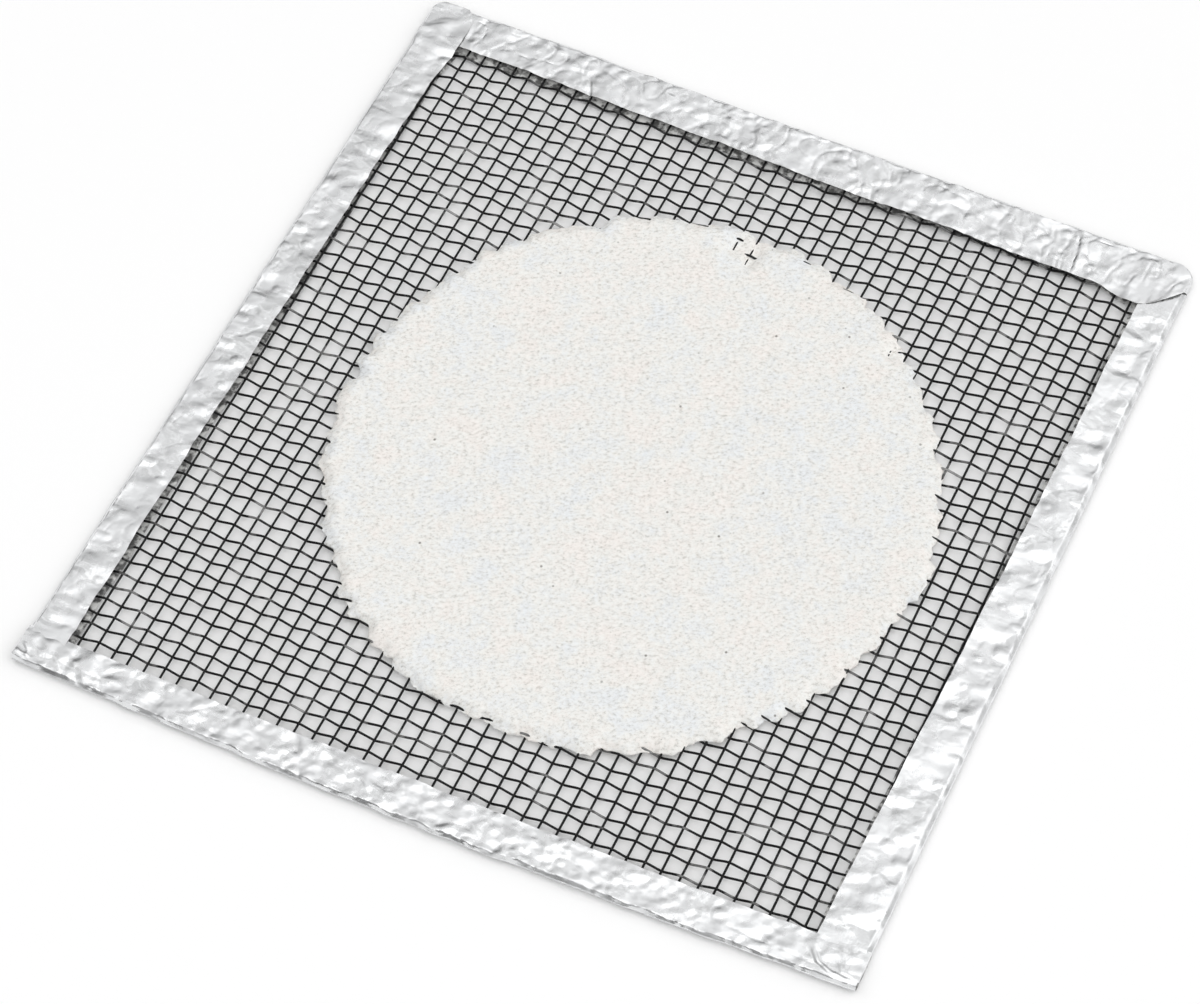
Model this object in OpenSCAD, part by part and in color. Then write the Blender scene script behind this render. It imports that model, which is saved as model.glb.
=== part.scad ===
// Wire gauze for a laboratory burner: a square of woven iron wire with a pressed ceramic
// centre, its cut edges bound with folded aluminium foil tape.
// +X runs to the right, +Y to the far edge and +Z up. The origin lies on the surface that
// the gauze rests on, under the middle of its outline. The straight wires run near to far,
// and the crimped wires run left to right, over and under the straight ones.

/* [Outline] */
// Nominal side of the square
side = 125; // [100:5:150]
// How far the far left corner stands off the square's corner, along X and Y
far_left_shift = [0.6, 1.1]; // [-2:0.1:2]
// The same for the far right corner
far_right_shift = [-0.7, -0.3]; // [-2:0.1:2]
// The same for the near right corner
near_right_shift = [0.2, 0.9]; // [-2:0.1:2]
// The same for the near left corner
near_left_shift = [-0.4, -0.9]; // [-2:0.1:2]
// How far the middle of the near edge bulges out
near_bow = 1.4; // [0.2:0.1:1.5]

/* [Woven mesh] */
// Diameter of the wire
wire_d = 0.36; // [0.3:0.02:0.44]
// Spacing of the straight wires
warp_pitch = 2.58; // [2.1:0.02:3.2]
// Spacing of the crimped wires
weft_pitch = 2.215; // [1.8:0.005:2.8]
// Play between two wires where they cross
cross_play = 0.02; // [0.01:0.01:0.04]
// How far the outermost wires stay inside the nominal square
wire_inset = 1.5; // [1.4:0.1:3]
// Length of wire past the last crossing
wire_stub = 0.3; // [0.25:0.01:0.4]
// Degrees that the crimped wires fan out for each millimetre along Y
weft_fan = 0.0115; // [0:0.0005:0.012]
// Place along Y where a crimped wire lies square to the straight ones
square_y = -23; // [-40:1:40]

/* [Ceramic centre] */
// Radius of the ceramic centre
disc_r = 43.9; // [30:0.1:52]
// Where its middle lies
disc_pos = [2, -2.8]; // [-4:0.1:4]
// Depth of ceramic over the wires, on each face
skin_t = 0.45; // [0.35:0.05:0.8]
// Depth of the outer step, where the skin thins out to the rim
rim_step_t = 0.25; // [0.15:0.05:0.3]
// How far the skin stops short of the rim
rim_step_w = 0.5; // [0.2:0.1:1]
// How strongly the rim follows the mesh: 0 is a plain round, 1 ends at whole cells
rim_snap = 0.6; // [0:0.1:1]
// Room between a wire and the ceramic around it
embed_play = 0.03; // [0.02:0.01:0.08]

/* [Foil edging] */
// Thickness of the foil
foil_t = 0.1; // [0.06:0.01:0.16]
// Play between the foil and what it folds over
fold_play = 0.02; // [0.01:0.01:0.05]
// Width on top of the left strip, at its far and near end
left_w = [6.9, 6.1]; // [4:0.1:9]
// Width on top of the right strip, at its near and far end
right_w = [7.3, 6]; // [4:0.1:9]
// Width on top of the far strip, at its right and left end
far_w = [8.6, 7]; // [4:0.1:9]
// Width on top of the near strip, at its left and right end
near_w = [5.7, 5.7]; // [4:0.1:9]
// How much wider each strip is on the underside
under_extra = 1; // [0:0.1:2]
// Radius of the far strip where it folds round the right corner
right_corner_r = 3; // [2:0.1:3.2]
// Radius of the left strip where it folds round the far corner
left_corner_r = 1.8; // [1.5:0.1:3]
// Room between a strip's folded end and the strip beneath it
corner_play = 0.15; // [0.1:0.01:0.3]
// Where the far strip's tongue leaves the right edge, down from the corner
tongue_root = 4.6; // [4:0.1:6]
// Length of the tongue's curved end
tongue_end_l = 6; // [4:0.1:8]
// Length of the tongue
tongue_l = 12; // [10:0.1:20]
// How far the tongue reaches past its strip's inner edge
tongue_drop = 0.9; // [0:0.1:2]
// How far a covered end stays back from the corner
end_back = 1.1; // [1:0.1:2]
// Length of a lap past the strip beneath
lap_margin = 0.6; // [0.4:0.1:2]

/* [Hidden] */
warp_groups = 12;
weft_groups = 14;
function tag(i) = i < 9 ? str("0", i + 1) : str(i + 1);
$fn = 32;
// fineness of the bowed edge, which turns through a few degrees only
bow_fn = 720;

// corners of the outline
far_left = [-side / 2, side / 2] + far_left_shift;
far_right = [side / 2, side / 2] + far_right_shift;
near_right = [side / 2, -side / 2] + near_right_shift;
near_left = [-side / 2, -side / 2] + near_left_shift;

// weave: a crimped wire runs straight from the top of one crossing to the bottom of the next,
// at a slope that clears the straight wires by the play
cross_gap = wire_d + cross_play;
lift = cross_gap / sqrt(1 - pow(2 * cross_gap / warp_pitch, 2));
slope = atan2(2 * lift, warp_pitch);
mesh_half = lift + wire_d / 2 / cos(slope);
warp_count = floor((side - 2 * wire_inset) / warp_pitch) + 1;
weft_count = floor((side - 2 * wire_inset) / weft_pitch) + 1;
function warp_x(i) = (i - (warp_count - 1) / 2) * warp_pitch;
function weft_y(j) = ((weft_count - 1) / 2 - j) * weft_pitch;
function weft_turn(j) = -weft_fan * (weft_y(j) - square_y);

// heights: half the height of a plain strip, and of one that laps over another
function rounded_up(v) = ceil(v * 1000) / 1000;
plain_h = rounded_up(mesh_half + fold_play) + foil_t;
lap_out = fold_play + foil_t;
lap_h = plain_h + lap_out;
disc_half = rounded_up(mesh_half) + skin_t;
// how far a folded end stands outside the strip beneath it
wrap = foil_t + corner_play;
// length of a leaf before it is trimmed
leaf = 14;
// the gauze rests on the ceramic
mid_z = max(disc_half, lap_h);

// the outline's far and near edge at a place along X
function far_y(x) = far_left.y + (far_right.y - far_left.y) * (x - far_left.x) / (far_right.x - far_left.x);
function near_y(x) =
    let (run = near_right.x - near_left.x, u = (x - near_left.x) / run)
    near_left.y + (near_right.y - near_left.y) * u - 4 * near_bow * u * (1 - u);

// ---------- woven mesh ----------

// part of one length of crimped wire, which runs straight from the top of a crossing down to
// the bottom of the next; it is cut square at both ends
module crimp_run(x0 = 0, x1 = warp_pitch) {
    intersection() {
        translate([0, 0, lift])
            rotate([0, 90 + slope, 0])
            translate([0, 0, -warp_pitch])
            cylinder(d = wire_d, h = 3 * warp_pitch);
        translate([x0, -warp_pitch, -2 * warp_pitch])
            cube([x1 - x0, 2 * warp_pitch, 4 * warp_pitch]);
    }
}

// a chain of such lengths: each half is the mirror image of the other
module crimp_chain(count) {
    if (count == 1) {
        crimp_run();
    } else if (count % 2 == 1) {
        union() {
            crimp_chain(count - 1);
            translate([(count - 1) * warp_pitch, 0, 0]) crimp_run();
        }
    } else {
        union() {
            crimp_chain(count / 2);
            translate([count * warp_pitch, 0, 0]) mirror([1, 0, 0]) crimp_chain(count / 2);
        }
    }
}

// a whole crimped wire, with its two stubs: each is the mirror image of the run that it ends
module weft_wire(j) {
    runs = warp_count - 1;
    translate([0, weft_y(j), 0])
        rotate([0, 0, weft_turn(j)])
        mirror([0, 0, j % 2])
        translate([warp_x(0), 0, 0])
        union() {
            crimp_chain(runs);
            mirror([1, 0, 0]) crimp_run(0, wire_stub);
            if (runs % 2 == 0)
                translate([runs * warp_pitch, 0, 0]) crimp_run(0, wire_stub);
            else
                translate([(runs + 1) * warp_pitch, 0, 0])
                    mirror([1, 0, 0]) crimp_run(warp_pitch - wire_stub, warp_pitch);
        }
}

module warp_wire(i) {
    x = warp_x(i);
    near_end = near_y(x) + plain_h + wire_stub;
    far_end = far_y(x) - plain_h - wire_stub;
    translate([x, near_end, 0]) rotate([-90, 0, 0]) cylinder(d = wire_d, h = far_end - near_end);
}

// neighbouring wires share a node
module warp_group(g) {
    color("dimgray") translate([0, 0, mid_z])
        for (i = [floor(g * warp_count / warp_groups):floor((g + 1) * warp_count / warp_groups) - 1])
            warp_wire(i);
}

module weft_group(g) {
    color("dimgray") translate([0, 0, mid_z])
        for (j = [floor(g * weft_count / weft_groups):floor((g + 1) * weft_count / weft_groups) - 1])
            weft_wire(j);
}

// ---------- ceramic centre ----------

// The rim follows the mesh: rows of cells end in teeth at its left and right, and columns of
// cells end in teeth at its near and far side.
function row_y(j) = (weft_y(j) + weft_y(j + 1)) / 2;
function column_x(i) = (warp_x(i) + warp_x(i + 1)) / 2;
side_arc = disc_r * cos(45);
rows = [for (j = [0:weft_count - 2]) if (abs(row_y(j) - disc_pos.y) < side_arc) j];
columns = [for (i = [0:warp_count - 2]) if (abs(column_x(i) - disc_pos.x) < side_arc) i];

// where the round ends on one hand of the middle, at a distance off to the side
function round_end(middle, hand, off) = middle + hand * sqrt(disc_r * disc_r - off * off);
// the same, moved part of the way to the middle of the cell that it falls in
function rim_end(v, first, pitch) =
    v + rim_snap * (first + (floor((v - first) / pitch) + 0.5) * pitch - v);
function row_end(j, hand) =
    rim_end(round_end(disc_pos.x, hand, row_y(j) - disc_pos.y), warp_x(0), warp_pitch);
function column_end(i, hand) =
    rim_end(round_end(disc_pos.y, hand, column_x(i) - disc_pos.x), weft_y(weft_count - 1), weft_pitch);
function backwards(list) = [for (k = [len(list) - 1:-1:0]) list[k]];

module disc_outline(inset) {
    tooth = 0.32 * [warp_pitch, weft_pitch];
    polygon(concat(
        [for (j = rows) for (s = [1, -1]) [row_end(j, 1) - inset, row_y(j) + s * tooth.y]],
        backwards([for (j = rows) for (s = [1, -1]) [row_end(j, -1) + inset, row_y(j) + s * tooth.y]])
    ));
    polygon(concat(
        [for (i = columns) for (s = [-1, 1]) [column_x(i) + s * tooth.x, column_end(i, 1) - inset]],
        backwards([for (i = columns) for (s = [-1, 1]) [column_x(i) + s * tooth.x, column_end(i, -1) + inset]])
    ));
}

module ceramic_centre() {
    reach = side;
    channel = wire_d + 2 * embed_play;
    slot_h = 2 * (mesh_half + embed_play);
    color("whitesmoke") translate([0, 0, mid_z])
        difference() {
            union() {
                translate([0, 0, -disc_half]) linear_extrude(height = 2 * disc_half)
                    disc_outline(rim_step_w);
                translate([0, 0, -disc_half + rim_step_t])
                    linear_extrude(height = 2 * (disc_half - rim_step_t)) disc_outline(0);
            }
            for (i = [0:warp_count - 1])
                if (abs(warp_x(i) - disc_pos.x) < disc_r + warp_pitch)
                    translate([warp_x(i) - channel / 2, -reach, -channel / 2])
                        cube([channel, 2 * reach, channel]);
            for (j = [0:weft_count - 1])
                if (abs(weft_y(j) - disc_pos.y) < disc_r + weft_pitch)
                    translate([0, weft_y(j), 0]) rotate([0, 0, weft_turn(j)])
                        translate([-reach, -channel / 2, -slot_h / 2]) cube([2 * reach, channel, slot_h]);
        }
}

// ---------- foil edging ----------
// Each strip is drawn along its own edge: x runs along the edge with the gauze on its left,
// y runs inwards from the fold, and z is measured from the middle of the mesh.

module along(from, to) {
    way = to - from;
    translate([from.x, from.y, mid_z]) rotate([0, 0, atan2(way.y, way.x)]) children();
}

// section of a folded strip: a half round fold with a leaf above and a leaf below; a lapping
// strip's fold is drawn about the same point, so it stands a little further out
module fold_section(h_out, h_in, reach = leaf) {
    difference() {
        union() {
            translate([plain_h, 0]) circle(r = h_out);
            translate([plain_h, -h_out]) square([reach - plain_h, 2 * h_out]);
        }
        translate([plain_h, 0]) circle(r = h_in);
        translate([plain_h, -h_in]) square([reach, 2 * h_in]);
    }
}

module plain_section() {
    fold_section(plain_h, plain_h - foil_t);
}

module lap_section(reach = leaf) {
    fold_section(lap_h, lap_h - foil_t, reach);
}

// the step between the two
module riser_section() {
    fold_section(lap_h, plain_h - foil_t);
}

// keeps what lies between two places along an edge
module between(x0, x1) {
    intersection() {
        children();
        translate([x0, -leaf, -leaf]) cube([x1 - x0, 3 * leaf, 2 * leaf]);
    }
}

// the whole length of a straight edge, and of one that bulges out
module straight_edge(len) {
    rotate([90, 0, 90]) linear_extrude(height = len) children();
}

module bulging_edge(len, bow) {
    r = round((len * len / 4 + bow * bow) / (2 * bow));
    turn = 2 * asin((len / 2 + 1) / r);
    translate([len / 2, r - bow, 0]) rotate([0, 0, -90 - turn / 2])
        rotate_extrude(angle = turn, $fn = bow_fn) translate([r, 0]) mirror([1, 0]) children();
}

// the end of a strip that folds round a corner of inner radius r and along the next edge
module wrapped_end(r, reach) {
    translate([r + lap_out - wrap, r, 0]) rotate([0, 0, 180])
        rotate_extrude(angle = 90) translate([r, 0]) mirror([1, 0]) lap_section(r);
    translate([lap_out - wrap, reach, 0]) rotate([90, 0, 0])
        linear_extrude(height = reach - r) lap_section(r);
}

// a strip with a wrapped end at x = 0, which steps down past the strip that it laps over
module wrapped_strip(len, x1, r, reach, lap_l) {
    union() {
        wrapped_end(r, reach);
        between(r + lap_out - wrap, lap_l) straight_edge(len) lap_section();
        between(lap_l, lap_l + foil_t) straight_edge(len) riser_section();
        between(lap_l + foil_t, x1) straight_edge(len) plain_section();
    }
}

// trims the upper leaf and the lower leaf, children 0 and 1, of a strip, child 2
module trimmed() {
    intersection() {
        union() {
            linear_extrude(height = leaf) children(0);
            mirror([0, 0, 1]) linear_extrude(height = leaf) children(1);
        }
        children(2);
    }
}

// a leaf's outline, from outside the fold in to its inner edge
module leaf_outline(len, w) {
    polygon([[-leaf, -leaf], [len + leaf, -leaf], [len + leaf, w[1]], [len, w[1]], [0, w[0]], [-leaf, w[0]]]);
}

// the far strip's outline, with its tongue or without
module tongue_outline(len, w, drop) {
    steps = 8;
    tip = w[0] + drop;
    curve = [for (i = [0:steps]) [
        -wrap + tongue_end_l * i / steps,
        tongue_root + (tip - tongue_root) * (1 - pow(1 - i / steps, 1.5))
    ]];
    polygon(concat(
        [[-leaf, tongue_root]], curve,
        [[tongue_l, tip - 0.4 * drop], [tongue_l + 2, w[0]], [len, w[1]], [len, -leaf], [-leaf, -leaf]]
    ));
}

function widened(w) = [w[0] + under_extra, w[1] + under_extra];

module foil_near() {
    len = norm(near_right - near_left);
    lap0 = left_w[1] + under_extra + lap_margin;
    lap1 = len - right_w[0] - under_extra - lap_margin;
    color("silver") along(near_left, near_right) trimmed() {
        leaf_outline(len, near_w);
        leaf_outline(len, widened(near_w));
        union() {
            between(0, lap0) bulging_edge(len, near_bow) lap_section();
            between(lap0, lap0 + foil_t) bulging_edge(len, near_bow) riser_section();
            between(lap0 + foil_t, lap1 - foil_t) bulging_edge(len, near_bow) plain_section();
            between(lap1 - foil_t, lap1) bulging_edge(len, near_bow) riser_section();
            between(lap1, len) bulging_edge(len, near_bow) lap_section();
        }
    }
}

module foil_right() {
    len = norm(far_right - near_right);
    color("silver") along(near_right, far_right) trimmed() {
        leaf_outline(len, right_w);
        leaf_outline(len, widened(right_w));
        between(end_back, len - right_corner_r - fold_play)
            straight_edge(len) plain_section();
    }
}

module foil_far() {
    len = norm(far_left - far_right);
    color("silver") along(far_right, far_left) trimmed() {
        tongue_outline(len, far_w, tongue_drop);
        tongue_outline(len, widened(far_w), 0);
        wrapped_strip(len, len - left_corner_r - fold_play, right_corner_r, leaf - right_corner_r,
            right_w[1] + under_extra + lap_margin);
    }
}

module foil_left() {
    len = norm(near_left - far_left);
    color("silver") along(far_left, near_left) trimmed() {
        leaf_outline(len, left_w);
        leaf_outline(len, widened(left_w));
        wrapped_strip(len, len - end_back, left_corner_r, leaf - left_corner_r,
            far_w[1] + under_extra + lap_margin);
    }
}

ceramic_centre();
foil_near();
foil_right();
foil_far();
foil_left();
for (g = [0:warp_groups - 1])
    warp_group(g);
for (g = [0:weft_groups - 1])
    weft_group(g);
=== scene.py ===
"""Looks of a wire gauze: black iron mesh, pressed ceramic centre and crinkled foil edging.

The mesh is woven from straight and crimped wires. The ceramic is rubbed into it from both
sides, and soft aluminium tape is folded over its cut ends. Lengths are in millimetres until a
mesh is made, and every place is worked out from the frame's boxes.
"""

import logging
import math
from dataclasses import dataclass, replace
from enum import Enum

import bpy
import numpy as np
from mathutils import Matrix, Vector


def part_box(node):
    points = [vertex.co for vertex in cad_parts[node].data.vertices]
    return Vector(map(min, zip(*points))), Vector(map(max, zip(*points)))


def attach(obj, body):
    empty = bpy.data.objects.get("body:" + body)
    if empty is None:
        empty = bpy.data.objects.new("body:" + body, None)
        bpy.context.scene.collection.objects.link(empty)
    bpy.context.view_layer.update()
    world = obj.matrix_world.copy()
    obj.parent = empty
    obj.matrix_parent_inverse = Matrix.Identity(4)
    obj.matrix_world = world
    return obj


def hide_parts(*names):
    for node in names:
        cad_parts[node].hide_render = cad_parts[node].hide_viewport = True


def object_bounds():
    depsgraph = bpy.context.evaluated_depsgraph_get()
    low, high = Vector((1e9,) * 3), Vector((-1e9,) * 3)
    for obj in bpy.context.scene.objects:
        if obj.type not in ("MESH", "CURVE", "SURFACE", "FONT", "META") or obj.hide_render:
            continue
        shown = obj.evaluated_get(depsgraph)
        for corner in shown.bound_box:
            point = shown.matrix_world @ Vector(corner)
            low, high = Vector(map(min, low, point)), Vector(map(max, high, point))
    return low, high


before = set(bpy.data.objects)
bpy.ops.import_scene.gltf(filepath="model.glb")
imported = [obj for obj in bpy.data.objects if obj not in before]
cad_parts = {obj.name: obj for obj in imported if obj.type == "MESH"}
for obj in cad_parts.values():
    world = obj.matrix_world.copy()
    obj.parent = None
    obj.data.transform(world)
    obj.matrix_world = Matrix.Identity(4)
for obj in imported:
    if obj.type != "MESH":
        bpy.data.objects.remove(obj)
CAD_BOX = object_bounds()

Array = np.ndarray
Point = tuple[float, float]
Triple = tuple[float, float, float]
Colour = tuple[float, float, float, float]
Faces = list[list[int]]
Material = bpy.types.Material
Tree = bpy.types.NodeTree
Socket = bpy.types.NodeSocket
MM = 0.001
LOG = logging.getLogger("wire_gauze")


class Slot(Enum):
    """The record's material slots."""

    CERAMIC = "ceramic"
    FOIL = "foil"
    WARP = "warp_wire"
    WEFT = "weft_wire"


class Side(Enum):
    """The four foil strips, by the node that each stands for."""

    NEAR = "foil_near"
    RIGHT = "foil_right"
    FAR = "foil_far"
    LEFT = "foil_left"


# ---------- numbers ----------


def box_mm(node: str) -> tuple[Array, Array]:
    """Gives the lowest and the highest corner of a CAD node, in millimetres."""
    low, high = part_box(node)
    return np.array(low) / MM, np.array(high) / MM


def group_names(prefix: str) -> list[str]:
    """Lists the CAD nodes whose names start with a prefix, in order."""
    return sorted(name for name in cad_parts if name.startswith(prefix))


def eased(x: Array | float) -> Array:
    """Goes smoothly from 0 to 1 as x does, and stays level outside."""
    x = np.clip(x, 0.0, 1.0)
    return x * x * (3 - 2 * x)


@dataclass(frozen=True)
class Noise:
    """Seeded noise over a plane, from -1 to 1."""

    seed: int

    def at_points(self, i: Array, j: Array) -> Array:
        """Gives each lattice point its own random number.

        Args:
            i: whole-number column of each point.
            j: whole-number row of each point.

        Returns:
            Numbers from -1 to 1.
        """
        # large odd factors and shifts mix the bits, so that neighbours have nothing in common
        mixed = (i.astype(np.int64) * 73856093) ^ (j.astype(np.int64) * 19349663)
        mixed = (mixed ^ (self.seed * 83492791)) & 0x7FFFFFFF
        mixed = ((mixed ^ (mixed >> 15)) * 1274126177) & 0x7FFFFFFF
        mixed = ((mixed ^ (mixed >> 13)) * 1911520717) & 0x7FFFFFFF
        return ((mixed ^ (mixed >> 16)) % 20011) / 10005.0 - 1.0

    def _corners(self, x: Array, y: Array, cell: float) -> tuple[Array, ...]:
        """Looks up the lattice square round each place.

        Args:
            x: places along X.
            y: places along Y.
            cell: size of a square.

        Returns:
            How far along the square each place is, and the numbers at the square's four corners.
        """
        u, v = np.asarray(x) / cell, np.asarray(y) / cell
        i, j = np.floor(u), np.floor(v)
        values = [self.at_points(i + a, j + b) for a, b in ((0, 0), (1, 0), (0, 1), (1, 1))]
        return (u - i, v - j, *values)

    def soft(self, x: Array, y: Array, cell: float) -> Array:
        """Rolling noise.

        Args:
            x: places along X.
            y: places along Y.
            cell: size of a lump.

        Returns:
            The noise at each place.
        """
        u, v, a, b, c, d = self._corners(x, y, cell)
        u, v = eased(u), eased(v)
        return (a * (1 - u) + b * u) * (1 - v) + (c * (1 - u) + d * u) * v

    def faceted(self, x: Array, y: Array, cell: float) -> Array:
        """Flat facets with sharp folds between them, as crumpled foil has.

        Args:
            x: places along X.
            y: places along Y.
            cell: size of a facet.

        Returns:
            The noise at each place.
        """
        shift = 0.38 * cell
        x = x + shift * self.soft(y + 31.7, x, 1.7 * cell)
        y = y + shift * self.soft(x - 12.9, y, 1.7 * cell)
        u, v, a, b, c, d = self._corners(x, y, cell)
        lower = np.where(u > v, a + (b - a) * u + (d - b) * v, a + (c - a) * v + (d - c) * u)
        upper = np.where(
            u + v < 1,
            a + (b - a) * u + (c - a) * v,
            d + (c - d) * (1 - u) + (b - d) * (1 - v),
        )
        return np.where(a + d > b + c, lower, upper)


def distance_to(path: tuple[Point, ...], x: Array, y: Array) -> tuple[Array, Array]:
    """Measures how far places lie from a bent line.

    Args:
        path: the line's points.
        x: places along X.
        y: places along Y.

    Returns:
        The distances, positive on the line's left, and the share of the line's length at the
        nearest place on it.
    """
    points = np.array(path)
    steps = np.linalg.norm(np.diff(points, axis=0), axis=1)
    best, signed, share = np.full(x.shape, 1e9), np.zeros(x.shape), np.zeros(x.shape)
    for k, (start, end) in enumerate(zip(points[:-1], points[1:])):
        way = (end - start) / steps[k]
        along = np.clip((x - start[0]) * way[0] + (y - start[1]) * way[1], 0, steps[k])
        off_x, off_y = x - start[0] - along * way[0], y - start[1] - along * way[1]
        gap = np.hypot(off_x, off_y)
        closer = gap < best
        best = np.where(closer, gap, best)
        signed = np.where(closer, np.sign(way[0] * off_y - way[1] * off_x) * gap, signed)
        share = np.where(closer, (steps[:k].sum() + along) / steps.sum(), share)
    return signed, share


# ---------- materials ----------


def srgb(code: str) -> Colour:
    """Turns a hex colour into the linear one that shaders take.

    Args:
        code: the colour as "#RRGGBB".

    Returns:
        Its linear red, green, blue and alpha.
    """
    parts = [int(code[k : k + 2], 16) / 255 for k in (1, 3, 5)]
    linear = [c / 12.92 if c <= 0.04045 else ((c + 0.055) / 1.055) ** 2.4 for c in parts]
    return (*linear, 1.0)


def add_node(
    tree: Tree,
    kind: str,
    sockets: dict[str | int, object] | None = None,
    stops: dict[float, str] | None = None,
    **settings: object,
) -> bpy.types.Node:
    """Adds a node, with its settings and its links.

    Args:
        tree: where it goes.
        kind: its type, without the leading "ShaderNode".
        sockets: what each input holds or is linked to, by the input's name or number. A node
            there stands for its first output.
        stops: the hex colours of its ramp, if it has one, by their place from 0 to 1.
        **settings: its own properties.

    Returns:
        The node.
    """
    node = tree.nodes.new("ShaderNode" + kind)
    for key, value in settings.items():
        setattr(node, key, value)
    for key, value in (sockets or {}).items():
        if isinstance(value, bpy.types.Node):
            value = value.outputs[0]
        if isinstance(value, Socket):
            tree.links.new(value, node.inputs[key])
        else:
            node.inputs[key].default_value = value
    if stops:
        elements = node.color_ramp.elements
        while len(elements) < len(stops):
            elements.new(0.5)
        for element, (place, code) in zip(elements, sorted(stops.items())):
            element.position = place
            element.color = srgb(code)
    return node


def new_material(name: str) -> tuple[Material, Tree, Socket]:
    """Starts a material that has no shader yet.

    Args:
        name: the material's name.

    Returns:
        The material, its node tree and where its pattern is measured from, in metres.
    """
    material = bpy.data.materials.new(name)
    material.use_nodes = True
    material.node_tree.nodes.clear()
    place = add_node(material.node_tree, "TexCoord").outputs["Object"]
    return material, material.node_tree, place


def per_metre(size_mm: float) -> float:
    """Gives the texture scale that makes a pattern's cell that many millimetres wide."""
    return 1 / (size_mm * MM)


@dataclass(frozen=True)
class BlackIron:
    """Annealed iron wire: black mill scale, with grey patches painted in as glints and made metallic so
    that they also reflect.
    """

    name: str
    scale_colour: str = "#0B0B0C"
    # the grey of the painted glints, where on the noise they begin, and how fast they fade in
    glint_colour: str = "#A9A9A8"
    rough: float = 0.45
    glint_from: float = 0.62
    glint_fade: float = 0.12
    patch_mm: float = 5.0

    def material(self) -> Material:
        """Makes the material.

        Returns:
            The black iron.
        """
        material, tree, place = new_material(self.name)
        # painted glints: grey patches a few crossings apart are put into the wire's colour, and made
        # metallic there, to give the grey glints along the wires
        patch = add_node(
            tree,
            "TexNoise",
            {"Vector": place, "Scale": per_metre(self.patch_mm), "Detail": 4.0, "Roughness": 0.62},
        )
        fade = {"From Min": self.glint_from, "From Max": self.glint_from + self.glint_fade}
        glint_share = add_node(tree, "MapRange", {"Value": patch, "To Min": 0.0, "To Max": 0.8, **fade})
        colours = {"Color1": srgb(self.scale_colour), "Color2": srgb(self.glint_colour)}
        shader = add_node(
            tree,
            "BsdfPrincipled",
            {
                "Base Color": add_node(tree, "MixRGB", {"Fac": glint_share, **colours}),
                "Metallic": glint_share,
                "Roughness": self.rough,
                "Specular IOR Level": 0.25,
            },
        )
        add_node(tree, "OutputMaterial", {"Surface": shader})
        return material


@dataclass(frozen=True)
class SoftFoil:
    """Dead-soft aluminium tape, bright but crinkled by hand."""

    name: str = "Soft aluminium tape, pressed on by hand"
    colour: str = "#E4E5E6"
    rough: float = 0.26
    smear_mm: float = 3.5
    wrinkle_mm: float = 0.9
    wrinkle_height: float = 0.045

    def material(self) -> Material:
        """Makes the material.

        Returns:
            The foil.
        """
        material, tree, place = new_material(self.name)
        # fingers and cloth leave some patches brighter than others
        smear = add_node(
            tree, "TexNoise", {"Vector": place, "Scale": per_metre(self.smear_mm), "Detail": 3.0}
        )
        span = {"To Min": self.rough - 0.07, "To Max": self.rough + 0.1}
        rough = add_node(tree, "MapRange", {"Value": smear, "From Min": 0.35, "From Max": 0.65, **span})
        # fine wrinkles between the big folds break up the reflection
        wrinkle = add_node(
            tree,
            "TexNoise",
            {"Vector": place, "Scale": per_metre(self.wrinkle_mm), "Detail": 4.0, "Roughness": 0.6},
        )
        relief = {"Strength": 1.0, "Distance": self.wrinkle_height * MM, "Height": wrinkle}
        shader = add_node(
            tree,
            "BsdfPrincipled",
            {
                "Base Color": srgb(self.colour),
                "Metallic": 1.0,
                "Roughness": rough,
                "Normal": add_node(tree, "Bump", relief),
            },
        )
        add_node(tree, "OutputMaterial", {"Surface": shader})
        return material


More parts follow.
